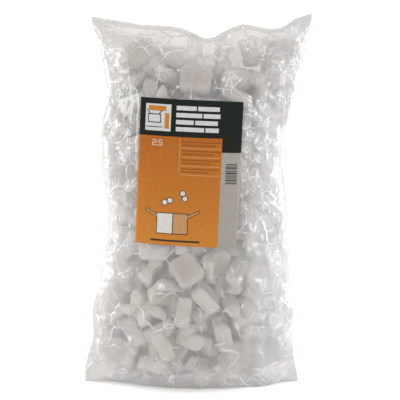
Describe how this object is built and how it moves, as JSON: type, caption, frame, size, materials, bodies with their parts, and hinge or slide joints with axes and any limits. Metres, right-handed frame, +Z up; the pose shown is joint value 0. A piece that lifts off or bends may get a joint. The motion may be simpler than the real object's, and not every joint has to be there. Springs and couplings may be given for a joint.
{
  "type": "packing peanut bag",
  "caption": "Clear film pillow bag standing full of white foam loose-fill chips, with a printed label on its front.",
  "frame": {"origin": "centre of the bounding box's underside, on the surface that the bag stands on", "axes": "+Z up from the foot to the top weld, +X to the right seen from the front, labelled front towards -Y"},
  "size_m": [0.197, 0.0785, 0.3249],
  "materials": {
    "clear_film": "clear glossy film, crinkled",
    "printed_label": "satin printed paper in orange, near-black and light grey",
    "white_foam": "translucent white expanded foam"
  },
  "bodies": {
    "root": {"film_bag": "clear_film", "label": "printed_label", "chip_01": "white_foam", "chip_02": "white_foam", "chip_03": "white_foam", "chip_04": "white_foam", "chip_05": "white_foam", "chip_06": "white_foam", "chip_07": "white_foam", "chip_08": "white_foam", "chip_09": "white_foam", "chip_10": "white_foam", "chip_11": "white_foam", "chip_12": "white_foam", "chip_13": "white_foam", "chip_14": "white_foam", "chip_15": "white_foam", "chip_16": "white_foam", "chip_17": "white_foam", "chip_18": "white_foam", "chip_19": "white_foam", "chip_20": "white_foam", "chip_21": "white_foam", "chip_22": "white_foam", "chip_23": "white_foam", "chip_24": "white_foam", "chip_25": "white_foam", "chip_26": "white_foam", "chip_27": "white_foam", "chip_28": "white_foam", "chip_29": "white_foam", "chip_30": "white_foam", "chip_31": "white_foam", "chip_32": "white_foam", "chip_33": "white_foam", "chip_34": "white_foam", "chip_35": "white_foam", "chip_36": "white_foam", "chip_37": "white_foam", "chip_38": "white_foam", "chip_39": "white_foam", "chip_40": "white_foam", "chip_41": "white_foam", "chip_42": "white_foam", "chip_43": "white_foam", "chip_44": "white_foam", "chip_45": "white_foam", "chip_46": "white_foam", "chip_47": "white_foam", "chip_48": "white_foam", "chip_49": "white_foam", "chip_50": "white_foam", "chip_51": "white_foam", "chip_52": "white_foam", "chip_53": "white_foam", "chip_54": "white_foam", "chip_55": "white_foam", "chip_heap": "white_foam"}
  },
  "joints": []
}
